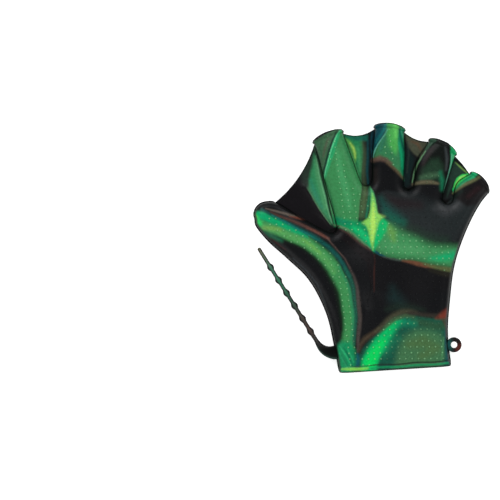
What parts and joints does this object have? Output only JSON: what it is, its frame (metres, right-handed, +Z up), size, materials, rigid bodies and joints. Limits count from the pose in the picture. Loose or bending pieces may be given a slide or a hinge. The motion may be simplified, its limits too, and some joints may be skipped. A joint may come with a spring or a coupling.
{
  "type": "swim glove",
  "caption": "Webbed half-finger swim glove in green and black marbled silicone, with a beaded wrist strap and an eyelet.",
  "frame": {"origin": "middle of the bounding box on the surface that the glove lies on", "axes": "+X towards the little finger, +Y towards the fingertips, +Z up, out of the palm side"},
  "size_m": [0.1882, 0.1978, 0.0208],
  "materials": {
    "silicone": "satin marbled silicone, greens over near-black, with raised grip dots"
  },
  "bodies": {
    "root": {"glove_shell": "silicone", "wrist_strap": "silicone", "strap_eyelet": "silicone"}
  },
  "joints": []
}
